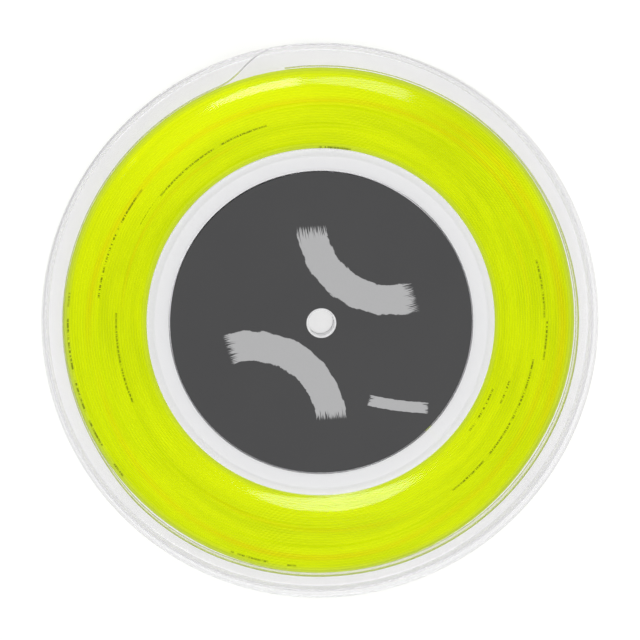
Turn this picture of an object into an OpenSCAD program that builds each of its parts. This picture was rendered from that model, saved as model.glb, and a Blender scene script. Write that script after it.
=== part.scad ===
// A full reel of racket string: two clear flanges on a ribbed drum, a hub
// sleeve for the spindle, six tie pins, a label on each side, the wound string
// and the clear springy strip that keeps it from unwinding.
// Millimetres. The reel lies flat: +Z is its axis, and the origin is the
// centre of its underside.

/* [Flanges] */
// Outer diameter of both flanges
flange_d = 270; // [240:1:320]
// Thickness of a flange's disc
flange_t = 1.5; // [1.2:0.1:2.5]
// Clear width between the two flanges
channel_w = 12; // [9:0.5:20]
// Width of the thickened bead round a flange's rim
bead_w = 2.8; // [2:0.1:5]
// How far the bead stands out of the flange's outer face
bead_h = 0.4; // [0.2:0.05:1]
// Corner radius of the bead
bead_corner = 0.6; // [0.3:0.05:0.7]

/* [Drum] */
// Diameter of the drum under the string
drum_d = 169; // [140:1:190]
// Thickness of the drum's wall
drum_wall = 3.2; // [2:0.1:4]
// Distance between the stiffening ribs, along the inside of the wall
rib_pitch = 2.84; // [2.7:0.02:6]
// How far a rib stands in from the wall
rib_depth = 6; // [3:0.5:8]
// Thickness of a rib
rib_t = 1.1; // [0.6:0.1:1.2]
// Width of the flanges' ring that seats inside the ribs
seat_w = 1.5; // [1:0.1:3]
// Height of that ring
seat_h = 2.5; // [1:0.1:3.5]
// Clearance between the ring and the ribs
seat_gap = 0.15; // [0.1:0.05:0.3]
// Clearance round the string in its hole through the drum's wall
anchor_gap = 0.17; // [0.1:0.01:0.3]

/* [Hub sleeve] */
// Bore for the spindle of a stringing machine
bore_d = 12.5; // [8:0.5:20]
// Wall of the sleeve where it passes through a flange
sleeve_wall = 2.2; // [1.5:0.1:4]
// Step from that wall out to the barrel between the flanges
sleeve_shoulder = 1.6; // [1:0.1:4]
// Clearance of the sleeve and the pins in the flanges
fit_gap = 0.08; // [0.05:0.01:0.2]
// Chamfer at the mouths of the bore
bore_chamfer = 0.4; // [0.2:0.1:0.8]

/* [Tie pins] */
// Number of pins that hold the flanges together
pin_count = 6; // [3:1:8]
// Diameter of the circle that the pins stand on
pin_circle_d = 100; // [60:1:120]
// Diameter of a pin
pin_d = 4; // [3:0.5:6]
// Wall of the boss round a pin
boss_wall = 2.2; // [1.5:0.1:4]
// How far a pin's end lies below the floor of the label's recess
pin_inset = 0.1; // [0.05:0.05:0.3]

/* [Labels] */
// Diameter of a label
label_d = 146.4; // [120:0.2:160]
// Thickness of a label
label_t = 0.2; // [0.1:0.05:0.25]
// How far a label's hole stands back from the bore
label_back = 1; // [0.5:0.1:2]
// Depth of the recess that a label lies in
recess_depth = 0.4; // [0.3:0.05:0.6]
// Clearance between a label's edge and the recess
recess_gap = 0.6; // [0.3:0.1:1.5]

/* [String] */
// Gauge of the string
string_d = 1.16; // [1.05:0.01:1.35]
// How far the flanges stand out past the string
flange_lip = 11.5; // [9:0.5:20]
// Gap between the string and each flange
side_gap = 0.3; // [0.2:0.05:0.5]
// Least gap between neighbouring turns of the outer layer
turn_gap = 0.45; // [0.42:0.01:0.6]
// Gap between the outer layer and the turns below it
layer_gap = 0.5; // [0.4:0.05:0.8]
// Gap between the innermost turns and the drum
drum_gap = 0.15; // [0.1:0.05:0.3]
// Rough distance from one layer of the pack to the next
layer_pitch = 1.25; // [1.2:0.05:1.6]
// Depth of the grooves between the layers, in the sides of the pack
layer_groove = 0.5; // [0.3:0.05:0.8]
// Diameter of the knot at the string's inner end
knot_d = 3.2; // [2.5:0.1:4]

/* [Retaining strip] */
// Thickness of the clear strip
strip_t = 0.4; // [0.25:0.05:0.5]
// Gap between strip and string where the strip presses on it
strip_gap = 0.3; // [0.2:0.05:0.5]
// How far the strip stands off elsewhere
strip_loose = 1.6; // [0.5:0.1:2.5]
// Distance from the strip's sprung end to the edge of the flanges
strip_tip_gap = 0.5; // [0.3:0.1:1]

/* [Hidden] */
$fn = 96;

// Heights: the underside is 0, and both flanges follow from the channel.
flange_r = flange_d / 2;
inner_z = bead_h + flange_t;
reel_h = 2 * inner_z + channel_w;
floor_z = bead_h + recess_depth;
mid_z = reel_h / 2;

// Radii of the core, from the drum inwards.
drum_r = drum_d / 2;
rib_root_r = drum_r - drum_wall;
rib_tip_r = rib_root_r - rib_depth;
seat_r = rib_tip_r - seat_gap;
rib_count = round(2 * PI * rib_root_r / rib_pitch);
spigot_r = bore_d / 2 + sleeve_wall;
barrel_r = spigot_r + sleeve_shoulder;
boss_r = pin_d / 2 + fit_gap + boss_wall;
recess_r = label_d / 2 + recess_gap;

// The winding. The outer layer is a tube of straight runs between rings, so it
// stands off the turns below it by the depth of those chords.
winding_r = flange_r - flange_lip;
turn_r = winding_r - string_d / 2;
rings_per_turn = 24;
tube_sides = 6;
pack_r = turn_r * cos(180 / rings_per_turn) - string_d / 2 - layer_gap;
first_turn_z = inner_z + side_gap + string_d / 2;
turns_span = channel_w - 2 * side_gap - string_d;
turn_count = min(24, floor(turns_span / (string_d + turn_gap)));
turn_pitch = turns_span / turn_count;
// The outer layer comes up out of the pack at this angle
turns_start_angle = 200;
// Angle of the string's inner end, midway between two ribs
anchor_angle = -360 / rib_count * (floor(rib_count / 8) + 0.5);

// The strip's course: it starts beside its own sprung end, wraps clockwise
// round the string and presses on it opposite, over this much to either side.
strip_start_angle = 98;
strip_wrap = 346;
strip_end_angle = strip_start_angle - strip_wrap;
strip_press_angle = -72;
strip_press_reach = 75;
strip_step = 3;
// The sprung end runs out to the flanges' edge over this angle.
spring_sweep = 11;
spring_steps = 8;
strip_tip_r = flange_r - strip_tip_gap - strip_t;
// How strongly the sprung end flattens at its two ends, up to 1 / 6
spring_bend = 0.11;

function on_circle(r, a, z) = [r * cos(a), r * sin(a), z];
function unit(v) = v / norm(v);

// ---- Flanges ----

// Section of the rim: a bar with rounded corners.
module rounded_bar(w, h, r) {
    translate([0, r]) square([w, h - 2 * r]);
    translate([r, 0]) square([w - 2 * r, h]);
    for (x = [r, w - r], y = [r, h - r]) translate([x, y]) circle(r);
}

// One flange with its outer face down: the disc, its rim bead, the shallow
// recess for the label, the ring that seats in the drum and the pins' bosses.
module flange() {
    difference() {
        union() {
            rotate_extrude() {
                translate([spigot_r + fit_gap, floor_z])
                    square([recess_r - spigot_r - fit_gap, inner_z - floor_z]);
                translate([recess_r, bead_h])
                    square([flange_r - bead_w / 2 - recess_r, flange_t]);
                translate([flange_r - bead_w, 0])
                    rounded_bar(bead_w, inner_z, bead_corner);
                translate([seat_r - seat_w, floor_z])
                    square([seat_w, inner_z - floor_z + seat_h]);
            }
            pin_places() translate([0, 0, floor_z])
                cylinder(r = boss_r, h = mid_z - floor_z);
        }
        pin_places() translate([0, 0, -1])
            cylinder(r = pin_d / 2 + fit_gap, h = reel_h);
    }
}

module pin_places() {
    for (i = [0 : pin_count - 1])
        rotate(i * 360 / pin_count) translate([pin_circle_d / 2, 0, 0]) children();
}

module rear_flange() {
    color([0.92, 0.93, 0.95, 0.35]) flange();
}

module front_flange() {
    color([0.92, 0.93, 0.95, 0.35])
        translate([0, 0, reel_h]) mirror([0, 0, 1]) flange();
}

// ---- Core ----

// Outline of the space inside the drum: in along one side of each rib, across
// its tip and out along the other side.
function rib_outline() = [
    for (i = [0 : rib_count - 1])
        for (corner = [[rib_root_r, -1], [rib_tip_r, -1], [rib_tip_r, 1], [rib_root_r, 1]])
            let (r = corner[0], a = i * 360 / rib_count + corner[1] * asin(rib_t / 2 / r))
                [r * cos(a), r * sin(a)]
];

// The drum that the string is wound on, with fine ribs inside its wall and the
// hole that the string's inner end goes through.
module core_drum() {
    color([0.93, 0.94, 0.94])
        difference() {
            translate([0, 0, inner_z]) linear_extrude(channel_w)
                difference() {
                    circle(drum_r);
                    polygon(rib_outline());
                }
            rotate(anchor_angle) translate([rib_root_r - 1, 0, mid_z])
                rotate([0, 90, 0]) cylinder(r = string_d / 2 + anchor_gap, h = drum_wall + 2);
        }
}

// The sleeve round the spindle: a barrel between the flanges, with a spigot
// through each of them.
module hub_sleeve() {
    color([0.88, 0.89, 0.9])
        rotate_extrude() polygon([
            [bore_d / 2, floor_z + bore_chamfer],
            [bore_d / 2 + bore_chamfer, floor_z],
            [spigot_r, floor_z],
            [spigot_r, inner_z],
            [barrel_r, inner_z],
            [barrel_r, reel_h - inner_z],
            [spigot_r, reel_h - inner_z],
            [spigot_r, reel_h - floor_z],
            [bore_d / 2 + bore_chamfer, reel_h - floor_z],
            [bore_d / 2, reel_h - floor_z - bore_chamfer]
        ]);
}

// Pins pressed through the bosses of both flanges, hidden by the labels.
module tie_pins() {
    color([0.8, 0.81, 0.82])
        pin_places() translate([0, 0, floor_z + pin_inset])
            cylinder(d = pin_d, h = reel_h - 2 * (floor_z + pin_inset));
}

// ---- Labels ----

module label() {
    difference() {
        cylinder(d = label_d, h = label_t);
        translate([0, 0, -1]) cylinder(r = bore_d / 2 + label_back, h = label_t + 2);
    }
}

module front_label() {
    color([0.3, 0.3, 0.31]) translate([0, 0, reel_h - floor_z]) label();
}

module rear_label() {
    color([0.9, 0.9, 0.9]) translate([0, 0, floor_z - label_t]) label();
}

// ---- String ----

// Half the section of the pack, above its middle: full height at the middle of
// each layer, with a V groove between one layer and the next.
pack_bore_r = drum_r + drum_gap;
pack_half_h = channel_w / 2 - side_gap;
pack_layers = round((pack_r - pack_bore_r) / layer_pitch);
pack_side = [
    for (i = [0 : 2 * pack_layers])
        [pack_bore_r + (pack_r - pack_bore_r) * i / (2 * pack_layers),
         pack_half_h - layer_groove * (1 - i % 2)]
];

// All the turns below the outer layer, as one ring whose sides show the layers.
module string_pack() {
    color([0.85, 0.95, 0.1])
        translate([0, 0, mid_z]) rotate_extrude()
            polygon(concat(pack_side, [for (i = [2 * pack_layers : -1 : 0])
                [pack_side[i][0], -pack_side[i][1]]]));
}

// Course of the outer layer: straight up out of the pack for one diameter of
// the string, round a bend, then in a steady helix from the rear flange to the
// front one. Its last ring is one diameter further on, straight ahead.
bend_r = turn_r - pack_r - string_d;
bend_start = on_circle(pack_r + string_d, turns_start_angle, first_turn_z);
bend_side = on_circle(1, turns_start_angle - 90, 0);
bend_out = on_circle(1, turns_start_angle, 0);
bend_points = [
    for (a = [0 : 30 : 90])
        bend_start + bend_r * (1 - cos(a)) * bend_side + bend_r * sin(a) * bend_out
];
helix_points = [
    for (i = [1 : turn_count * rings_per_turn])
        let (turn = i / rings_per_turn)
            on_circle(turn_r, turns_start_angle - 360 * turn, first_turn_z + turn_pitch * turn)
];
helix_last = helix_points[len(helix_points) - 1];
helix_before = helix_points[len(helix_points) - 2];
turns_route = concat(
    [on_circle(pack_r, turns_start_angle, first_turn_z)],
    bend_points,
    helix_points,
    [helix_last + string_d * unit(helix_last - helix_before)]
);

function heading(route, i) = unit(
    route[min(i + 1, len(route) - 1)] - route[max(i - 1, 0)]
);
function ring(route, i, r, sides) =
    let (ahead = heading(route, i),
         up = unit([0, 0, 1] - ahead[2] * ahead),
         side = cross(ahead, up))
        [for (k = [0 : sides - 1])
            route[i] + r * (cos(360 * k / sides) * up + sin(360 * k / sides) * side)];

// A closed tube of triangles along a route.
module tube(route, r, sides) {
    last = len(route) - 1;
    points = [for (i = [0 : last]) each ring(route, i, r, sides)];
    wall = [
        for (i = [0 : last - 1], k = [0 : sides - 1])
            let (a = i * sides + k, b = i * sides + (k + 1) % sides)
                each [[a, b, b + sides], [a, b + sides, a + sides]]
    ];
    caps = [
        for (k = [1 : sides - 2])
            each [[0, k + 1, k], [last * sides, last * sides + k, last * sides + k + 1]]
    ];
    polyhedron(points, concat(wall, caps));
}

// The outer layer of turns, as one unbroken tube.
module string_turns() {
    color([0.88, 0.98, 0.1]) tube(turns_route, string_d / 2, tube_sides);
}

least_gap = min([
    for (i = [0 : len(turns_route) - 1])
        for (j = [i + rings_per_turn / 2 : 1 : len(turns_route) - 1])
            norm(turns_route[i] - turns_route[j])
]) - string_d;
echo(str("least gap between turns of the outer layer: ", least_gap, " mm"));

// The string's inner end, through the drum's wall and knotted behind its ribs.
module string_inner_end() {
    knot_r = rib_tip_r - knot_d / 2 - seat_gap;
    color([0.85, 0.95, 0.1])
        rotate(anchor_angle) translate([knot_r, 0, mid_z]) {
            sphere(d = knot_d);
            rotate([0, 90, 0]) cylinder(d = string_d, h = drum_r + drum_gap / 2 - knot_r);
        }
}

// ---- Retaining strip ----

// How far the strip's inner face lies from the axis, at an angle along it.
function strip_press(a) =
    let (away = abs(a - strip_press_angle) / strip_press_reach)
        away < 1 ? pow(cos(90 * away), 2) : 0;
function strip_r(a) = winding_r + strip_gap + strip_loose * (1 - strip_press(a));
// The sprung end leaves the string in a gentle curve and flattens at the rim.
function spring_ease(t) = t - spring_bend * sin(360 * t);

strip_course = concat(
    [for (a = [strip_start_angle : -strip_step : strip_end_angle]) [strip_r(a), a]],
    [for (k = [1 : spring_steps])
        let (t = k / spring_steps, start_r = strip_r(strip_end_angle))
            [start_r + (strip_tip_r - start_r) * spring_ease(t),
             strip_end_angle - spring_sweep * t]]
);
function strip_face(offset) = [
    for (p = strip_course) [(p[0] + offset) * cos(p[1]), (p[0] + offset) * sin(p[1])]
];
function reversed(list) = [for (i = [len(list) - 1 : -1 : 0]) list[i]];

// The clear strip wrapped round the string between the flanges.
module retaining_strip() {
    color([0.9, 0.92, 0.95, 0.3])
        translate([0, 0, inner_z + side_gap]) linear_extrude(channel_w - 2 * side_gap)
            polygon(concat(strip_face(0), reversed(strip_face(strip_t))));
}

front_flange();
rear_flange();
core_drum();
hub_sleeve();
tie_pins();
front_label();
rear_label();
string_pack();
string_turns();
string_inner_end();
retaining_strip();
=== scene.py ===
import bpy
import numpy as np
from mathutils import Matrix, Vector


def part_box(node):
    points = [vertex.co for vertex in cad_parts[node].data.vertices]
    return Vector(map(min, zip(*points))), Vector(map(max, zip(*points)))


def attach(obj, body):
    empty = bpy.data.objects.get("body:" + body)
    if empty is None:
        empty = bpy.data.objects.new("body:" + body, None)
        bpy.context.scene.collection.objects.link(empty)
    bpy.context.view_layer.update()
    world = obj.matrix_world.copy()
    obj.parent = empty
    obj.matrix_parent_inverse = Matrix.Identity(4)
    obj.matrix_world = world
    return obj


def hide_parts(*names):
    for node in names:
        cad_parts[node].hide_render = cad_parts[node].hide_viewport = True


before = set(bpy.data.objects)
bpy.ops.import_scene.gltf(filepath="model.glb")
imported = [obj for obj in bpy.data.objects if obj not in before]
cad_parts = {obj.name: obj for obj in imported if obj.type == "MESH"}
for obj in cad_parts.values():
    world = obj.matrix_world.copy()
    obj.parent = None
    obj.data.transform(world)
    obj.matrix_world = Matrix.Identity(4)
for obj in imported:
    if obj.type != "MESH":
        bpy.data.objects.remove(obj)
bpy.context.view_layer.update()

# ---- Rear flange ----
# A clear polystyrene disc, injection moulded in one piece: a bead round its rim, a shallow recess
# for the label, a ring that seats inside the drum and six bosses for the tie pins.

MM = 0.001


def side_of(node, corner, axis):
    """One side of a node's box in the frame, in millimetres; corner is 0 for low, 1 for high."""
    return round(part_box(node)[corner][axis] / MM, 2)


# All lengths are in millimetres until made() scales them.
reel_h = side_of("front_flange", 1, 2)
flange_r = side_of("front_flange", 1, 0) - 0.02
channel_z = (side_of("core_drum", 0, 2), side_of("core_drum", 1, 2))
sleeve_r = 8.53
recess_r, recess_z = 73.8, 0.8
face_z = 0.4
seat_r, seat_z = (73.65, 75.15), 4.4
frost_edge_r = (80.2, 81.4)
drum_edge_r = (84.0, 84.5)
bead_slope_r = (131.5, 132.6)
rim_line_r = 133.8
bow_rise = 0.17  # the string pushes the disc out by this much
bow_slopes = [(85.5, 92.9), (113.0, 120.6)]  # where the disc bends out and back in
boss_r, pin_hole_r, boss_z = 4.28, 2.08, (0.85, 7.88)
pin_circle_r, pin_count = 50, 6


class Value:
    """A number or colour that varies over a surface: arithmetic on it adds Math nodes."""

    def __init__(self, finish, socket):
        self.finish = finish
        self.socket = socket

    def math(self, operation, *terms):
        return self.finish.node("Math", {"operation": operation}, dict(enumerate(terms)))

    def __add__(self, other):
        return self.math("ADD", self, other)

    def __sub__(self, other):
        return self.math("SUBTRACT", self, other)

    def __rsub__(self, other):
        return self.math("SUBTRACT", other, self)

    def __mul__(self, other):
        return self.math("MULTIPLY", self, other)

    def __truediv__(self, other):
        return self.math("DIVIDE", self, other)

    def __pow__(self, other):
        return self.math("POWER", self, other)

    def __abs__(self):
        return self.math("ABSOLUTE", self)

    __radd__ = __add__
    __rmul__ = __mul__

    def rising(self, low, high):
        """0 below low, 1 above high and a smooth step between them."""
        return self.finish.node(
            "MapRange", {"interpolation_type": "SMOOTHSTEP"}, {0: self, 1: low, 2: high}
        )

    def output(self, name):
        """Another output of the same node."""
        return Value(self.finish, self.socket.node.outputs[name])


class Finish:
    """The nodes of one material, or of the room round the reel."""

    def __init__(self, owner):
        owner.use_nodes = True
        self.owner = owner
        self.tree = owner.node_tree
        self.tree.nodes.clear()

    def node(self, kind, settings=None, sockets=None, out=0):
        """A node from its type, its settings and the values or links of its sockets."""
        added = self.tree.nodes.new("ShaderNode" + kind)
        for name, value in (settings or {}).items():
            setattr(added, name, value)
        for name, value in (sockets or {}).items():
            if isinstance(value, Value):
                self.tree.links.new(value.socket, added.inputs[name])
            else:
                added.inputs[name].default_value = value
        return Value(self, added.outputs[out]) if added.outputs else None

    def mixed(self, share, first, second):
        """Two colours, mixed by share."""
        return self.node("Mix", {"data_type": "RGBA"}, {0: share, 6: first, 7: second}, out=2)

    def parts(self, vector):
        """The X, Y and Z of a vector."""
        split = self.node("SeparateXYZ", None, {0: vector})
        return [split.output(axis) for axis in "XYZ"]

    def off_axis(self, place):
        """How far a place is from the reel's axis, in millimetres."""
        x, y = self.parts(place)[:2]
        return (x * x + y * y) ** 0.5 * 1000.0

    def noise(self, vector, scale, detail, roughness):
        return self.node(
            "TexNoise",
            None,
            {"Vector": vector, "Scale": scale, "Detail": detail, "Roughness": roughness},
        )

    def bump(self, height, distance):
        return self.node("Bump", None, {"Height": height, "Distance": distance})

    def shown(self, surface):
        self.node("OutputMaterial", None, {"Surface": surface})
        return self.owner


def finish_named(name):
    return Finish(bpy.data.materials.new(name))


def eased(corners, steps=4):
    """A closed outline from corners of (radius, height, easing), each rounded by its easing."""
    places = np.array([corner[:2] for corner in corners], float)
    outline = []
    for i, (*_, easing) in enumerate(corners):
        here = places[i]
        back, ahead = places[i - 1] - here, places[(i + 1) % len(places)] - here
        start = here + back / np.linalg.norm(back) * easing
        end = here + ahead / np.linalg.norm(ahead) * easing
        for t in np.linspace(0, 1, steps + 1) if easing else [0]:
            outline.append((1 - t) ** 2 * start + 2 * t * (1 - t) * here + t**2 * end)
    return np.array(outline)


def turned(outline, steps, centre=(0, 0)):
    """Points and faces of an outline of (radius, height) turned about an upright axis."""
    angle = np.linspace(0, 2 * np.pi, steps, endpoint=False)
    x = centre[0] + np.outer(np.cos(angle), outline[:, 0])
    y = centre[1] + np.outer(np.sin(angle), outline[:, 0])
    z = np.broadcast_to(outline[:, 1], x.shape)
    return np.stack([x, y, z], -1).reshape(-1, 3), ring_faces(steps, len(outline), True)


def ring_faces(rings, sides, closed):
    """The four-sided faces between successive rings of points."""
    here = np.arange(rings * sides).reshape(rings, sides)
    ahead = np.roll(here, -1, 0)
    faces = np.stack([here, ahead, np.roll(ahead, -1, 1), np.roll(here, -1, 1)], -1)
    return faces.reshape(-1, 4) if closed else faces[:-1].reshape(-1, 4)


def made(name, shells, material, sharp=35):
    """One object from shells of points, in millimetres, and faces."""
    points, faces, count = [], [], 0
    for shell_points, shell_faces in shells:
        points.extend((np.asarray(shell_points) * MM).tolist())
        faces.extend([[corner + count for corner in face] for face in shell_faces])
        count += len(shell_points)
    mesh = bpy.data.meshes.new(name)
    mesh.from_pydata(points, [], faces)
    mesh.materials.append(material)
    mesh.shade_smooth()
    mesh.set_sharp_from_angle(angle=np.radians(sharp))
    piece = bpy.data.objects.new(name, mesh)
    bpy.context.scene.collection.objects.link(piece)
    return piece


clear = finish_named("clear_styrene")
clear_place = clear.node("TexCoord").output("Object")
clear_r = clear.off_axis(clear_place)
clear_tilt = clear.node("LayerWeight", None, {"Blend": 0.5}).output("Facing")
clear_cloud = clear.noise(clear_place, 55.0, 4.0, 0.6)
clear_scuff = clear.noise(clear_place, 900.0, 2.0, 0.7)
clear_wave = clear.noise(clear_place, 55.0, 1.0, 0.5)

# The mould is frosted from the recess out over the drum's ribs, duller over the drum's wall and
# slightly so on the bead. The bead's dull veil is painted grey and the outermost edge dark grey:
# both painted shade, for the light that the rounded clear edge bends away.
frosted = clear_r.rising(recess_r - 0.1, recess_r + 0.1) * (1 - clear_r.rising(*frost_edge_r))
over_wall = clear_r.rising(*frost_edge_r) * (1 - clear_r.rising(*drum_edge_r))
beaded = clear_r.rising(bead_slope_r[0] + 0.5, bead_slope_r[1])
# Painted shade: a dull grey veil on the top of the bead.
bead_painted_shade = beaded * (1 - clear_r.rising(rim_line_r, rim_line_r + 0.2))
matted_and_bead_shade = 0.74 * frosted + 0.55 * over_wall + 0.24 * bead_painted_shade
clear_gloss_and_rim_shade = 0.026 + 0.006 * clear_cloud.rising(0.42, 0.75) + 0.5 * clear_tilt**3.0
# Painted shade: more of the grey skin at the outermost edge.
clear_gloss_and_rim_shade = clear_gloss_and_rim_shade + 0.08 * clear_r.rising(rim_line_r, rim_line_r + 0.3)
clear_veil = clear_gloss_and_rim_shade.math("MAXIMUM", clear_gloss_and_rim_shade, matted_and_bead_shade)
# Painted shade: the skin is dark grey beyond the rim line.
clear_tone_and_rim_shade = clear.mixed(
    clear_r.rising(rim_line_r, rim_line_r + 0.4), (0.94, 0.94, 0.95, 1), (0.42, 0.42, 0.43, 1)
)
# Painted shade: the veil is greyer on the bead.
frost_tone_and_bead_shade = clear.mixed(beaded, (0.90, 0.90, 0.91, 1), (0.80, 0.80, 0.81, 1))
clear_tone_and_rim_shade = clear.mixed(matted_and_bead_shade.rising(0.0, 0.1), clear_tone_and_rim_shade, frost_tone_and_bead_shade)
clear_open = clear.node("BsdfTransparent", None, {0: (0.991, 0.988, 0.998, 1)})
clear_skin = clear.node(
    "BsdfPrincipled",
    None,
    {
        "Base Color": clear_tone_and_rim_shade,
        "Metallic": 1 - matted_and_bead_shade.rising(0.0, 0.1),
        "Roughness": 0.045 + 0.015 * clear_scuff + 0.4 * matted_and_bead_shade,
        "IOR": 1.5,
        "Normal": clear.bump(clear_wave, 0.000006),
    },
)
clear_styrene = clear.shown(
    clear.node("MixShader", None, {0: clear_veil, 1: clear_open, 2: clear_skin})
)

bowed_face = []
for (begin, end), start, change in zip(
    bow_slopes, (face_z, face_z - bow_rise), (-bow_rise, bow_rise)
):
    for t in np.linspace(0, 1, 15):
        bowed_face.append((begin + (end - begin) * t, start + change * t * t * (3 - 2 * t), 0))
flange_outline = eased(
    [
        (sleeve_r, recess_z, 0),
        (recess_r - 0.3, recess_z, 0),
        (recess_r, recess_z, 0.1),
        (recess_r, face_z, 0.15),
        (recess_r + 0.4, face_z, 0),
        *bowed_face,
        (bead_slope_r[0] - 0.3, face_z, 0),
        (bead_slope_r[0], face_z, 0.3),
        (bead_slope_r[1], 0.0, 0.3),
        (bead_slope_r[1] + 0.3, 0.0, 0),
        (flange_r - 0.78, 0.0, 0),
        (flange_r, 0.0, 0.6),
        (flange_r, channel_z[0], 0.6),
        (flange_r - 1.08, channel_z[0], 0),
        (seat_r[1] + 0.45, channel_z[0], 0),
        (seat_r[1], channel_z[0], 0.15),
        (seat_r[1], seat_z, 0.25),
        (seat_r[0], seat_z, 0.25),
        (seat_r[0], channel_z[0], 0.15),
        (seat_r[0] - 0.45, channel_z[0], 0),
        (sleeve_r, channel_z[0], 0),
    ]
)
boss_outline = eased(
    [
        (pin_hole_r, boss_z[0], 0),
        (boss_r, boss_z[0], 0),
        (boss_r, boss_z[1], 0.3),
        (pin_hole_r, boss_z[1], 0.2),
    ]
)
pin_places = [
    (pin_circle_r * np.cos(angle), pin_circle_r * np.sin(angle))
    for angle in np.linspace(0, 2 * np.pi, pin_count, endpoint=False)
]
flange_shells = [turned(flange_outline, 360)]
flange_shells += [turned(boss_outline, 40, centre) for centre in pin_places]
rear_flange = made("rear_flange_disc", flange_shells, clear_styrene)
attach(rear_flange, "root")
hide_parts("rear_flange")

# ---- Core drum ----
# The uncoloured plastic ring that the string is wound on, pushed between the seats of the two
# flanges. Fine tapered ribs stand inside its wall and stiffen it.

drum_r = side_of("core_drum", 1, 0)
rib_root_r, rib_tip_r = 81.3, 75.3
rib_count = 180
rib_half_root, rib_half_tip = np.radians(0.46), np.radians(0.33)
drum_bottom, drum_top = channel_z[0] + 0.05, channel_z[1] - 0.05

rib_corners = [
    (rib_root_r, -rib_half_root),
    (rib_tip_r, -rib_half_tip),
    (rib_tip_r, rib_half_tip),
    (rib_root_r, rib_half_root),
]
drum_inside = [
    (r, 2 * np.pi * i / rib_count + lean) for i in range(rib_count) for r, lean in rib_corners
]
drum_points = []
for r, angle in drum_inside:
    aim = np.array([np.cos(angle), np.sin(angle), 0])
    for radius, z in (
        (r + 0.15, drum_top),
        (r, drum_top - 0.15),
        (r, drum_bottom + 0.15),
        (r + 0.15, drum_bottom),
        (drum_r - 0.2, drum_bottom),
        (drum_r, drum_bottom + 0.2),
        (drum_r, drum_top - 0.2),
        (drum_r - 0.2, drum_top),
    ):
        drum_points.append(aim * radius + [0, 0, z])

natural = finish_named("natural_styrene")
natural_place = natural.node("TexCoord").output("Object")
natural_cloud = natural.noise(natural_place, 90.0, 3.0, 0.6)
natural_grain = natural.noise(natural_place, 2500.0, 2.0, 0.6)
natural_colour = natural.mixed(natural_cloud, (0.80, 0.80, 0.815, 1), (0.86, 0.86, 0.87, 1))
natural_body = natural.node(
    "BsdfPrincipled",
    None,
    {
        "Base Color": natural_colour,
        "Roughness": 0.32 + 0.15 * natural_grain,
        # The drum glows faintly: painted light that lifts its shaded ribs and wall.
        "Emission Color": (0.85, 0.85, 0.86, 1),
        "Emission Strength": 0.12,
        "Normal": natural.bump(natural_grain, 0.00002),
    },
)
natural_open = natural.node("BsdfTransparent", None, {0: (0.97, 0.97, 0.975, 1)})
natural_styrene = natural.shown(
    natural.node("MixShader", None, {0: 0.8, 1: natural_open, 2: natural_body})
)

drum_faces = ring_faces(len(drum_inside), 8, True)
core_drum = made("ribbed_drum", [(drum_points, drum_faces)], natural_styrene)
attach(core_drum, "root")
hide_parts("core_drum")

# ---- Hub sleeve and tie pins ----
# A satin sleeve round the spindle bore, and six plain pins pressed through the bosses of both
# flanges. Both are uncoloured plastic straight from the mould.

hub = finish_named("hub_plastic_satin")
hub_place = hub.node("TexCoord").output("Object")
hub_cloud = hub.noise(hub_place, 160.0, 3.0, 0.55)
hub_grain = hub.noise(hub_place, 3000.0, 2.0, 0.6)
hub_plastic = hub.shown(
    hub.node(
        "BsdfPrincipled",
        None,
        {
            "Base Color": hub.mixed(hub_cloud, (0.76, 0.76, 0.77, 1), (0.82, 0.82, 0.825, 1)),
            "Roughness": 0.30 + 0.2 * hub_grain,
            "Normal": hub.bump(hub_grain, 0.00002),
        },
    )
)


def dress(node, finish):
    """Gives one finish to a node that keeps the frame's own shape."""
    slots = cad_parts[node].data.materials
    slots.clear()
    slots.append(finish)


dress("hub_sleeve", hub_plastic)
dress("tie_pins", hub_plastic)

# ---- String ----
# 200 m of fluorescent polyester monofilament in one length, wound clockwise in layers that run to
# and fro between the flanges. A hand-set traverse leaves the layers a little uneven.

string_d = 1.16
string_length = 200_000
pack_r = 123.5
channel_middle = reel_h / 2
row_z = (2.62, 13.18)  # heights of the string's centre beside each flange
lead_in = 0.7  # of the first turn: where the string comes from the hole to its first place
first_r, layer_pitch = drum_r + 0.1 + string_d / 2, 1.258
full_layers, turns_per_layer = 30, 10
step_share = 0.2  # of each turn: where it steps over to the next place along the drum
string_start = np.radians(-45)
steps_per_turn = 96
string_sides = 8

wound = np.random.default_rng(116)
layer_turns = turns_per_layer - wound.uniform(0, 0.25, full_layers + 1)
layer_ends = np.concatenate([[0], np.cumsum(layer_turns)])
outer_knots = np.array(
    [
        (0, 123.5),
        (15, 123.4),
        (30, 122.6),
        (45, 122.6),
        (60, 122.9),
        (90, 123.3),
        (120, 123.2),
        (150, 123.9),
        (180, 124.6),
        (210, 124.1),
        (240, 123.4),
        (265, 123.1),
        (285, 123.2),
        (300, 123.7),
        (315, 124.0),
        (330, 123.7),
        (345, 123.4),
    ]
)


def round_trip(knots, degrees):
    """Values between knots of (degrees clockwise from +X, value), smoothed round the circle."""
    every = np.arange(360.0)
    level = np.interp(every, knots[:, 0], knots[:, 1], period=360)
    near = np.exp(-((np.arange(-30, 31) / 6.0) ** 2))
    level = np.convolve(np.tile(level, 3), near / near.sum(), "same")[360:720]
    return np.interp(degrees % 360, every, level, period=360)


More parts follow.
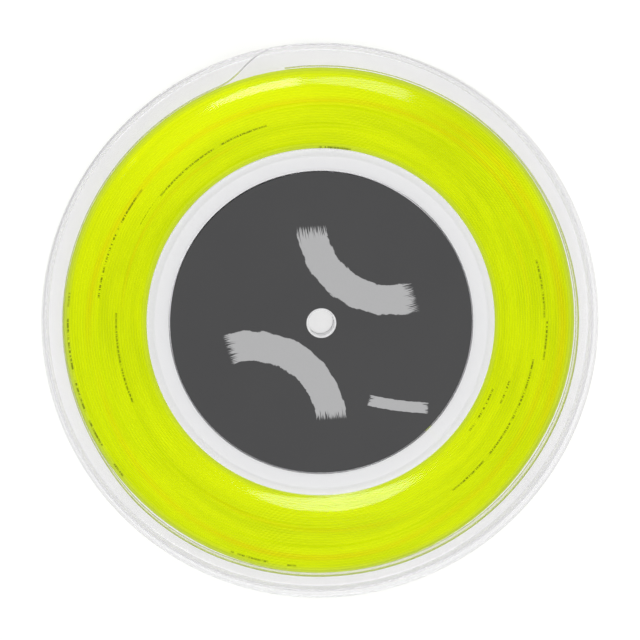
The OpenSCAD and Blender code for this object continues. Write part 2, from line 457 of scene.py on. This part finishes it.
turn = np.arange(0, layer_ends[-1], 1 / steps_per_turn)
layer = np.searchsorted(layer_ends, turn, "right") - 1
turn_in_layer = turn - layer_ends[layer]
step_over = np.clip((turn_in_layer % 1 - 1 + step_share) / step_share, 0, 1)
row = np.minimum(np.floor(turn_in_layer) + step_over**2 * (3 - 2 * step_over), turns_per_layer - 1)
row = np.where(layer % 2 == 0, row, turns_per_layer - 1 - row)
climb = 1 - np.clip((layer_ends[layer + 1] - turn) / 0.12, 0, 1)
climb = np.where(layer < full_layers, climb**2 * (3 - 2 * climb), 0)
string_angle = string_start - 2 * np.pi * turn
clockwise = np.degrees(-string_angle) % 360
share_out = np.clip((layer + climb) / full_layers, 0, 1)
outer_r = round_trip(outer_knots, clockwise)
string_r = first_r + (layer + climb) * layer_pitch
string_r += (outer_r - pack_r) * share_out**1.5
string_r += 0.09 * np.sin(3 * string_angle + 0.9 * layer) * share_out
string_r += (0.1 + 0.03 * share_out) * np.cos(np.pi * row)  # rows nest into each other
string_z = row_z[0] + (row_z[1] - row_z[0]) * row / (turns_per_layer - 1)
start_share = np.clip(turn / lead_in, 0, 1) ** 0.8
string_z = np.where(
    turn < lead_in, channel_middle + (string_z - channel_middle) * start_share, string_z
)

# Lanes of turns as (strength, half width, fade at the ends, course), with the courses as degrees
# clockwise from +X and radii. In the golden lanes the turns lie a little deeper under the front
# flange than their neighbours and are tinted golden: painted shade for the light that reaches
# them through the strands around them. In the sheen lanes they lie a little higher and glow
# brighter: a painted highlight.
first_half = [
    (5, 111.5),
    (30, 112.2),
    (60, 113.5),
    (75, 115.6),
    (105, 115.8),
    (135, 113.9),
    (170, 110.5),
]
second_half = [
    (172, 113.6),
    (195, 111.3),
    (212, 108.6),
    (240, 108.2),
    (270, 107.5),
    (300, 109.4),
    (345, 111.5),
]
across_start = [(294, 113.4), (315, 115.0), (345, 116.6), (360, 118.0), (375, 118.3), (392, 119.5)]
golden_shade_lanes = [
    (0.6, 1.5, 14, first_half),
    (1.0, 1.4, 25, first_half[2:6]),
    (0.8, 1.4, 14, second_half),
    (0.8, 2.2, 14, across_start),
    (0.6, 0.7, 14, [(325, 102.2), (359, 101.8)]),
    (0.6, 0.7, 14, [(180, 97.3), (250, 94.7)]),
    (0.5, 1.0, 14, [(60, 104.0), (130, 99.7)]),
]
# Sheen lanes: a painted highlight, where the turns glow brighter than their neighbours.
painted_sheen_lanes = [
    (1.0, 12.0, 45, [(183, 112.0), (305, 112.0)]),
    (0.45, 10.0, 40, [(15, 92.0), (165, 92.0)]),
    (0.35, 8.0, 40, [(25, 112.0), (175, 112.0)]),
    (0.35, 4.0, 20, [(200, 93.0), (318, 93.0)]),
    (1.0, 3.0, 18, [(203, 119.3), (270, 119.8)]),
    (0.35, 4.0, 20, [(300, 112.0), (350, 120.0)]),
]


def in_lanes(lanes):
    """How far each step of the string belongs to one of the lanes."""
    share = np.zeros_like(turn)
    for strength, width, fade, course in lanes:
        course = np.array(course)
        along = course[0, 0] + (clockwise - course[0, 0]) % 360
        ends = np.minimum(along - course[0, 0], course[-1, 0] - along)
        off_lane = (string_r - np.interp(along, course[:, 0], course[:, 1])) / width
        share = np.maximum(share, strength * np.clip(ends / fade, 0, 1) * np.exp(-(off_lane**2)))
    return share


golden_shade = in_lanes(golden_shade_lanes)
painted_sheen = in_lanes(painted_sheen_lanes)
beside_front = np.clip((string_z - 9.0) / 4, 0, 1)
string_z = string_z + (0.08 * painted_sheen * (1 - golden_shade) - 0.2 * golden_shade) * beside_front

# Turns at the inner and outer edge of the pack are darker and duller: painted shade, for the
# light that they get less of from their neighbours.
edge = np.clip((string_r + 3.6 - outer_r) / 3.0, 0, 1) ** 1.5
edge = np.maximum(edge, 0.6 * np.exp(-(((string_r - first_r) / 1.3) ** 2))) * (1 - 0.8 * painted_sheen)

# The print along the string, as plain dashes: (radius, from, to), in degrees clockwise from +X.
unprinted = -10.0
print_runs = [
    (110.2, 0, 10),
    (105.6, 9, 52),
    (96.2, 16, 25),
    (90.3, 20, 37),
    (120.7, 94, 109),
    (99.1, 157, 181),
    (99.4, 207, 254),
    (108.0, 186, 214),
    (123.4, 142, 186),
    (108.6, 343, 359),
    (85.5, 268, 281),
]
to_layer_end, from_layer_start = layer_ends[layer + 1] - turn, turn - layer_ends[layer]
front_turn = np.where(layer % 2 == 0, to_layer_end < 1, from_layer_start < 1)
front_turn &= layer < full_layers
printed = np.full_like(turn, unprinted)
for radius, begin, end in print_runs:
    on_front = np.flatnonzero(front_turn & (clockwise >= begin) & (clockwise <= end))
    nearest = layer[on_front[np.argmin(abs(string_r[on_front] - radius))]]
    run = on_front[layer[on_front] == nearest]
    printed[run] = np.radians(clockwise[run] - begin) * radius + 0.01

# The colour runs in faint streaks along the turns. The glow is partly the dye's fluorescence,
# as the string sends back more yellow-green than falls on it, and partly painted light that
# lifts the shaded sides of the strands and the grooves between them.
neon = finish_named("string_neon")
neon_place = neon.node("TexCoord").output("Object")
neon_x, neon_y = neon.parts(neon_place)[:2]
neon_r = neon.off_axis(neon_place)
neon_round = neon.node(
    "CombineXYZ",
    None,
    {0: neon_x / neon_r * 4000.0, 1: neon_y / neon_r * 4000.0, 2: neon_r * 0.38},
)
neon_streak = neon.noise(neon_round, 0.6, 3.0, 0.6)
neon_golden_shade = neon.node("Attribute", {"attribute_name": "golden_shade"}).output("Fac")
neon_painted_sheen = neon.node("Attribute", {"attribute_name": "painted_sheen"}).output("Fac")
neon_print = neon.node("Attribute", {"attribute_name": "printed"}).output("Fac")
neon_edge_shade = neon.node("Attribute", {"attribute_name": "edge"}).output("Fac")
neon_up = neon.parts(neon.node("NewGeometry").output("Normal"))[2]
neon_colour = neon.mixed(
    neon_streak.rising(0.3, 0.7), (0.20, 0.236, 0.0, 1), (0.237, 0.267, 0.0, 1)
)
# Painted shade: the deeper turns of the golden lanes take a golden tint.
neon_colour = neon.mixed(neon_golden_shade * 0.8, neon_colour, (0.24, 0.205, 0.0, 1))
# Painted shade: the turns at the pack's edges are darker and duller.
neon_colour = neon.mixed(neon_edge_shade, neon_colour, (0.18, 0.215, 0.035, 1))
dash_place = neon.node("CombineXYZ", None, {0: neon_print * 0.9, 1: neon_r * 0.12})
dashes = neon.noise(dash_place, 1.6, 1.0, 0.5).rising(0.42, 0.54)
words = neon.noise(dash_place, 0.09, 0.0, 0.5).rising(0.36, 0.40)
inked = 0.8 * dashes * words * neon_print.rising(-0.5, 0.0) * neon_up.rising(0.55, 0.75)
neon_colour = neon.mixed(inked, neon_colour, (0.07, 0.09, 0.004, 1))
# The glow colour: the dye's fluorescence, and painted light on the strands' shaded sides.
neon_glow_and_painted_light = neon.mixed(
    neon_streak.rising(0.35, 0.65), (0.775, 0.972, 0.0, 1), (0.845, 1.053, 0.0, 1)
)
# Painted highlight: the turns of the sheen lanes glow brighter.
neon_glow_and_painted_light = neon.mixed(neon_painted_sheen, neon_glow_and_painted_light, (1.09, 1.28, 0.0, 1))
# Painted shade: the golden lanes glow golden, and brighter where a sheen lane crosses them.
neon_golden_shade_glow = neon.mixed(neon_painted_sheen, (0.86, 0.84, 0.0, 1), (1.10, 1.04, 0.0, 1))
neon_glow_and_painted_light = neon.mixed(neon_golden_shade * 0.8, neon_glow_and_painted_light, neon_golden_shade_glow)
# Painted shade: the turns at the pack's edges glow less.
neon_glow_and_painted_light = neon.mixed(neon_edge_shade, neon_glow_and_painted_light, (0.70, 0.85, 0.06, 1))
neon_glow_and_painted_light = neon.mixed(inked, neon_glow_and_painted_light, (0.08, 0.10, 0.0, 1))
neon_string = neon.shown(
    neon.node(
        "BsdfPrincipled",
        None,
        {
            "Base Color": neon_colour,
            "Roughness": 0.30 + 0.16 * neon_streak,
            "IOR": 1.5,
            "Emission Color": neon_glow_and_painted_light,
            "Emission Strength": 0.57,
            "Specular IOR Level": 0.06,
        },
    )
)


def tube_faces(rings, sides):
    """The faces of an open run of rings, closed by a cap at each end."""
    caps = [list(range(sides))[::-1], list(range((rings - 1) * sides, rings * sides))]
    return ring_faces(rings, sides, False).tolist() + caps


def strand(name, pick):
    """A run of the winding as one closed tube, with its painted golden shade, painted sheen, print
    and painted edge shade.
    """
    turns_round = 2 * np.pi * np.arange(string_sides) / string_sides
    out = np.stack([np.cos(string_angle[pick]), np.sin(string_angle[pick]), 0 * turn[pick]], -1)
    centre = out * string_r[pick, None] + string_z[pick, None] * np.array([0, 0, 1])
    rim = np.cos(turns_round)[:, None] * out[:, None]
    rim = rim + np.outer(np.sin(turns_round), [0, 0, 1])
    points = (centre[:, None] + string_d / 2 * rim).reshape(-1, 3)
    rings = len(centre)
    piece = made(name, [(points, tube_faces(rings, string_sides))], neon_string, 70)
    for word, level in (("golden_shade", golden_shade), ("painted_sheen", painted_sheen), ("printed", printed), ("edge", edge)):
        levels = np.repeat(level[pick], string_sides).astype(np.float32)
        piece.data.attributes.new(word, "FLOAT", "POINT").data.foreach_set("value", levels)

    # The map named OFBake has one row for each turn of the string.
    ring, side = np.divmod(np.arange((rings - 1) * string_sides)[:, None], string_sides)
    bake_turn, bake_step = np.divmod(ring, steps_per_turn)
    bake_u = (bake_step + np.array([0, 1, 1, 0])) / steps_per_turn
    bake_v = (bake_turn + (side + np.array([0, 0, 1, 1])) / string_sides) / (bake_turn.max() + 1)
    bake = np.zeros((len(piece.data.loops), 2), np.float32)
    bake[: bake_u.size] = np.stack([bake_u.ravel(), bake_v.ravel()], -1)
    piece.data.uv_layers.new(name="OFBake").data.foreach_set("uv", bake.ravel())
    return piece


step_aside = np.hypot(np.diff(string_r), np.diff(string_z))
step_length = np.hypot(step_aside, string_r[1:] * 2 * np.pi / steps_per_turn)
used = int(np.searchsorted(np.cumsum(step_length), string_length))
for name, begin, end in (
    ("string_inner_layers", 0, used // 3),
    ("string_middle_layers", used // 3, 2 * used // 3),
    ("string_outer_layers", 2 * used // 3, used),
):
    wound_string = strand(name, slice(begin, end + 1))
    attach(wound_string, "root")
    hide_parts("string_pack", "string_turns")

# ---- String's inner end ----
# The first few centimetres come through a hole in the drum's wall and are stopped by a small
# wrapped knot behind the ribs.

knot_r, knot_reach, knot_wraps = 72.3, 3.0, 2.4
wrap_r = 1.25  # of the string's centre round the length that it is wrapped on
knot_sides = 10

knot_share = np.linspace(0, 1, 60)
wrap_angle = 2 * np.pi * knot_wraps * knot_share
knot_wrap = np.stack(
    [
        knot_r + knot_reach * knot_share,
        wrap_r * np.sin(wrap_angle) * np.minimum(1, 6 * knot_share + 0.15),
        wrap_r * ((knot_share < 0.1) - np.cos(wrap_angle)),
    ],
    -1,
)
knot_in = [(r, 0.0, 0.0) for r in np.linspace(drum_r + 0.4, knot_r + 0.3, 14)]
knot_course = np.vstack([knot_in, knot_wrap])
ahead = np.gradient(knot_course, axis=0)
ahead /= np.linalg.norm(ahead, axis=1)[:, None]
side = np.cross(ahead, [0.3, 0.2, 1.0])
side /= np.linalg.norm(side, axis=1)[:, None]
up = np.cross(side, ahead)
spin = 2 * np.pi * np.arange(knot_sides) / knot_sides
knot_points = knot_course[:, None] + string_d / 2 * (
    np.cos(spin)[None, :, None] * side[:, None] + np.sin(spin)[None, :, None] * up[:, None]
)
c, s = np.cos(string_start), np.sin(string_start)
turned_to_start = np.array([[c, s, 0], [-s, c, 0], [0, 0, 1]])
knot_points = knot_points.reshape(-1, 3) @ turned_to_start + [0, 0, channel_middle]
knot_faces = tube_faces(len(knot_course), knot_sides)
inner_end = made("string_knotted_end", [(knot_points, knot_faces)], neon_string, 70)
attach(inner_end, "root")
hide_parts("string_inner_end")

# ---- Retaining strip ----
# A ribbon of clear film sprung round the winding inside the flanges. It lies close on the string at
# one side, stands off it elsewhere, and its free end springs out to the rim.

strip_t, strip_z = 0.42, (2.3, 13.5)
strip_lean = -0.3  # of the ribbon's front edge against its rear one
strip_from, spring_from, spring_sweep = -98, 248, 11  # degrees clockwise from +X
free_end_r = 134.05
strip_knots = np.array(
    [
        (0, 125.8),
        (15, 125.9),
        (30, 125.4),
        (60, 125.2),
        (90, 125.0),
        (105, 125.2),
        (120, 125.8),
        (135, 125.9),
        (150, 124.9),
        (180, 125.1),
        (210, 124.65),
        (225, 124.4),
        (248, 124.0),
        (262, 124.0),
        (285, 124.1),
        (300, 124.6),
        (330, 125.0),
        (345, 125.4),
    ]
)
strip_clockwise = np.concatenate(
    [np.arange(strip_from, spring_from, 1.5), spring_from + spring_sweep * np.arange(1, 13) / 12]
)
strip_r = round_trip(strip_knots, strip_clockwise)
spring = np.clip((strip_clockwise - spring_from) / spring_sweep, 0, 1)
strip_r += (free_end_r - strip_r) * (spring - 0.06 * np.sin(2 * np.pi * spring))
section = eased(
    [
        (-strip_t / 2, strip_z[0], 0.12),
        (strip_t / 2, strip_z[0], 0.12),
        (strip_t / 2, strip_z[1], 0.12),
        (-strip_t / 2, strip_z[1], 0.12),
    ],
    2,
)
height_share = (section[:, 1] - strip_z[0]) / (strip_z[1] - strip_z[0])
lean = strip_lean * np.outer(1 - spring, height_share - 0.5)
strip_radius = strip_r[:, None] + section[None, :, 0] + lean
strip_angle = -np.radians(strip_clockwise)[:, None]
strip_points = np.stack(
    [
        strip_radius * np.cos(strip_angle),
        strip_radius * np.sin(strip_angle),
        np.broadcast_to(section[None, :, 1], strip_radius.shape),
    ],
    -1,
).reshape(-1, 3)
strip_faces = tube_faces(len(strip_clockwise), len(section))

# The film is cloudy at its cut edges and along its front part. Over the string its skin is painted
# olive there and pale yellow elsewhere, a painted reflection of the string, and what shows through
# it is tinted yellow, painted light from the string. Where it is sprung clear of the string its
# skin is plain grey, painted shade for a clear edge.
film = finish_named("clear_film")
film_place = film.node("TexCoord").output("Object")
film_tilt = film.node("LayerWeight", None, {"Blend": 0.5}).output("Facing")
film_cloud = film.noise(film_place, 120.0, 3.0, 0.6)
film_z = film.parts(film_place)[2] * 1000.0
film_sprung = film.off_axis(film_place).rising(126.6, 128.0)
film_up = film.parts(film.node("NewGeometry").output("Normal"))[2]
# The zone of the cut edges and the front part, where the painted reflection shows most.
film_painted_zone = abs(film_up).rising(0.4, 0.8)
film_painted_zone = film_painted_zone.math("MAXIMUM", film_painted_zone, film_z.rising(9.2, 11.6))
film_veil = 0.02 + 0.03 * film_cloud + 0.05 * film_tilt**2.0 + 0.62 * film_painted_zone
# Painted reflection of the string: olive and pale yellow tones.
film_painted_reflection = film.mixed(film_painted_zone, (0.88, 0.92, 0.45, 1), (0.50, 0.58, 0.06, 1))
# Painted light: a yellow tint on what shows through the film over the string.
film_on_string_painted_tint = film.node("BsdfTransparent", None, {0: (0.965, 0.97, 0.89, 1)})
film_off_string = film.node("BsdfTransparent", None, {0: (0.97, 0.97, 0.975, 1)})
film_open = film.node("MixShader", None, {0: film_sprung, 1: film_on_string_painted_tint, 2: film_off_string})
# The skin is painted grey where the film is sprung clear of the string: painted shade.
film_skin = film.node(
    "BsdfPrincipled",
    None,
    {
        "Base Color": film.mixed(film_sprung, film_painted_reflection, (0.40, 0.40, 0.42, 1)),
        "Roughness": 0.12 + 0.1 * film_cloud,
        "Normal": film.bump(film_cloud, 0.00003),
    },
)
clear_film = film.shown(film.node("MixShader", None, {0: film_veil, 1: film_open, 2: film_skin}))
strip = made("retaining_film", [(strip_points, strip_faces)], clear_film)
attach(strip, "root")
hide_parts("retaining_strip")

# ---- Front flange ----
# The same clear polystyrene moulding as the rear flange, turned over. It is pushed down on the
# drum and the tie pins once the string is in place.

front_shells = [
    (points * [1, 1, -1] + [0, 0, reel_h], faces[:, ::-1]) for points, faces in flange_shells
]
front_flange = made("front_flange_disc", front_shells, clear_styrene)
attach(front_flange, "root")
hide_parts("front_flange")

# ---- Labels ----
# Printed film discs stuck into the flanges' recesses: matt dark grey in front with a plain figure
# of two dry-brushed arcs, like the seam of a ball, and plain pale paper behind.

dark = finish_named("dark_label_print")
dark_place = dark.node("TexCoord").output("Object")
dark_x, dark_y = [axis * 1000.0 for axis in dark.parts(dark_place)[:2]]
dark_grain = dark.noise(dark_place, 1800.0, 3.0, 0.6)
dark_cloud = dark.noise(dark_place, 25.0, 3.0, 0.5)


def brushed_arc(middle, radius, width, facing, half_sweep, seed):
    """Where a dry brush left paint along an arc; facing and half_sweep are in degrees."""
    turn_by = np.radians(facing)
    dx, dy = dark_x - middle[0], dark_y - middle[1]
    along_x = dx * float(np.cos(turn_by)) + dy * float(np.sin(turn_by))
    along_y = dy * float(np.cos(turn_by)) - dx * float(np.sin(turn_by))
    out = (along_x * along_x + along_y * along_y) ** 0.5
    sweep = along_y.math("ARCTAN2", along_y, along_x) / float(np.radians(half_sweep))
    along = dark.node("CombineXYZ", None, {0: out * 1.7, 1: sweep * 1.6, 2: seed})
    bristles = dark.noise(along, 1.0, 2.0, 0.6)
    across = dark.node("CombineXYZ", None, {0: out * 0.5, 1: sweep * 9.0, 2: seed + 7.3})
    fray = dark.noise(across, 1.0, 3.0, 0.6)
    off = abs(out - radius) / (width / 2) + (fray - 0.5) * 0.35
    end = abs(sweep) + (bristles - 0.5) * 0.9
    dry = (bristles + 0.42 - 0.55 * abs(sweep) ** 3.0).rising(0.42, 0.5)
    return (1 - off.rising(0.93, 1.0)) * (1 - end.rising(0.93, 1.0)) * dry


figure = brushed_arc((34, 50), 39, 15, 236, 54, 1.0)
figure = figure.math("MAXIMUM", figure, brushed_arc((-34, -50), 39, 15, 56, 54, 4.0))
figure = figure.math("MAXIMUM", figure, brushed_arc((60, 120), 162, 5.5, -98, 5.5, 9.0))
dark_ink = dark.mixed(dark_cloud, (0.055, 0.055, 0.057, 1), (0.063, 0.063, 0.064, 1))
dark_colour = dark.mixed(figure * (0.9 + 0.2 * dark_grain), dark_ink, (0.42, 0.42, 0.425, 1))
dark_label = dark.shown(
    dark.node(
        "BsdfPrincipled",
        None,
        {
            "Base Color": dark_colour,
            "Roughness": 0.55 + 0.2 * dark_grain,
            "Specular IOR Level": 0.25,
            "Normal": dark.bump(dark_grain, 0.00002),
        },
    )
)
pale = finish_named("pale_label_paper")
pale_place = pale.node("TexCoord").output("Object")
pale_fibre = pale.noise(pale_place, 700.0, 5.0, 0.65)
pale_label = pale.shown(
    pale.node(
        "BsdfPrincipled",
        None,
        {
            "Base Color": pale.mixed(pale_fibre, (0.74, 0.74, 0.73, 1), (0.84, 0.84, 0.84, 1)),
            "Roughness": 0.7 + 0.2 * pale_fibre,
            "Specular IOR Level": 0.25,
            "Normal": pale.bump(pale_fibre, 0.00004),
        },
    )
)
dress("front_label", dark_label)
dress("rear_label", pale_label)

# ---- Floor, room, lamps and camera ----
# A plain white floor that keeps the reel's soft shadow and a pale room that is dark overhead. Two
# long soft lamps stand beyond the top and bottom of the label and a weaker one to the right, and
# the bowed faces of the flanges mirror three small ones nearly overhead.

floor_paint = finish_named("floor_white")
floor_ray = floor_paint.node("LightPath")
floor_seen = floor_ray.output("Is Camera Ray").math(
    "MAXIMUM", floor_ray.output("Is Camera Ray"), floor_ray.output("Is Glossy Ray")
)
floor_seen = floor_seen.math("MAXIMUM", floor_seen, floor_ray.output("Is Transmission Ray"))
floor_matt = floor_paint.node("BsdfDiffuse", None, {0: (0.95, 0.95, 0.95, 1)})
floor_glow = floor_paint.node("Emission", None, {0: (1, 1, 1, 1), 1: 1.10})
floor_white = floor_paint.shown(
    floor_paint.node("MixShader", None, {0: floor_seen * 0.62, 1: floor_matt, 2: floor_glow})
)
floor_half, floor_z = 2500, -0.3
floor_corners = [
    (x * floor_half, y * floor_half, floor_z) for x, y in ((-1, -1), (1, -1), (1, 1), (-1, 1))
]
floor = made("floor", [(floor_corners, [(0, 1, 2, 3)])], floor_white)

room = bpy.data.worlds.new("room")
bpy.context.scene.world = room
air = Finish(room)
air_up = air.parts(air.node("TexCoord").output("Generated"))[2]
air_level = 0.06 + 0.8 * (1 - abs(air_up)) ** 1.5
air_ray = air.node("LightPath").output("Is Camera Ray")
air_level = air_level * (1 - air_ray) + air_ray
air_light = air.node("Background", None, {0: (1, 1, 1, 1), 1: air_level})
air.node("OutputWorld", None, {"Surface": air_light})

target = Vector((0, 0, reel_h * MM))
for lamp_name, shape, place, size, watts in (
    ("lamp_top", "RECTANGLE", (-0.3, 1.0, 1.05), (1.3, 0.5), 12.0),
    ("lamp_bottom", "RECTANGLE", (0.0, -1.0, 1.05), (1.3, 0.5), 10.8),
    ("lamp_right", "RECTANGLE", (1.1, 0.0, 0.9), (0.5, 1.0), 3.8),
    ("lamp_low", "ELLIPSE", (0.068, -0.2285, 1.2), (0.092, 0.112), 0.16),
    ("lamp_high", "RECTANGLE", (-0.032, 0.203, 1.2), (0.116, 0.08), 0.24),
    ("lamp_high_faint", "RECTANGLE", (0.102, 0.203, 1.2), (0.152, 0.08), 0.14),
):
    lamp = bpy.data.objects.new(lamp_name, bpy.data.lights.new(lamp_name, "AREA"))
    lamp.data.shape = shape
    lamp.data.size, lamp.data.size_y = size
    lamp.data.energy = watts
    lamp.location = place
    lamp.rotation_euler = (target - lamp.location).to_track_quat("-Z", "Y").to_euler()
    bpy.context.scene.collection.objects.link(lamp)

frame_width = 0.3097  # metres across the picture at the height of the reel's face
camera_distance = 1.2
camera_tilt, camera_aside = np.radians(6.3), np.radians(116)  # off the axis, and from +X
sensor = 36
camera_aim = Vector((-0.0007, 0.0016, reel_h * MM))
camera_way = Vector(
    (
        np.sin(camera_tilt) * np.cos(camera_aside),
        np.sin(camera_tilt) * np.sin(camera_aside),
        np.cos(camera_tilt),
    )
)
camera = bpy.data.objects.new("camera", bpy.data.cameras.new("camera"))
camera.location = camera_aim + camera_way * camera_distance
camera.data.sensor_width = sensor
camera.data.lens = sensor * camera_distance / frame_width
camera_right = Vector((0, 1, 0)).cross(camera_way).normalized()
camera_up = camera_way.cross(camera_right)
camera_turn = Matrix((camera_right, camera_up, camera_way)).transposed()
camera.rotation_euler = camera_turn.to_euler()
bpy.context.scene.collection.objects.link(camera)
bpy.context.scene.camera = camera
bpy.context.scene.view_settings.view_transform = "Standard"
bpy.context.scene.cycles.transparent_max_bounces = 32
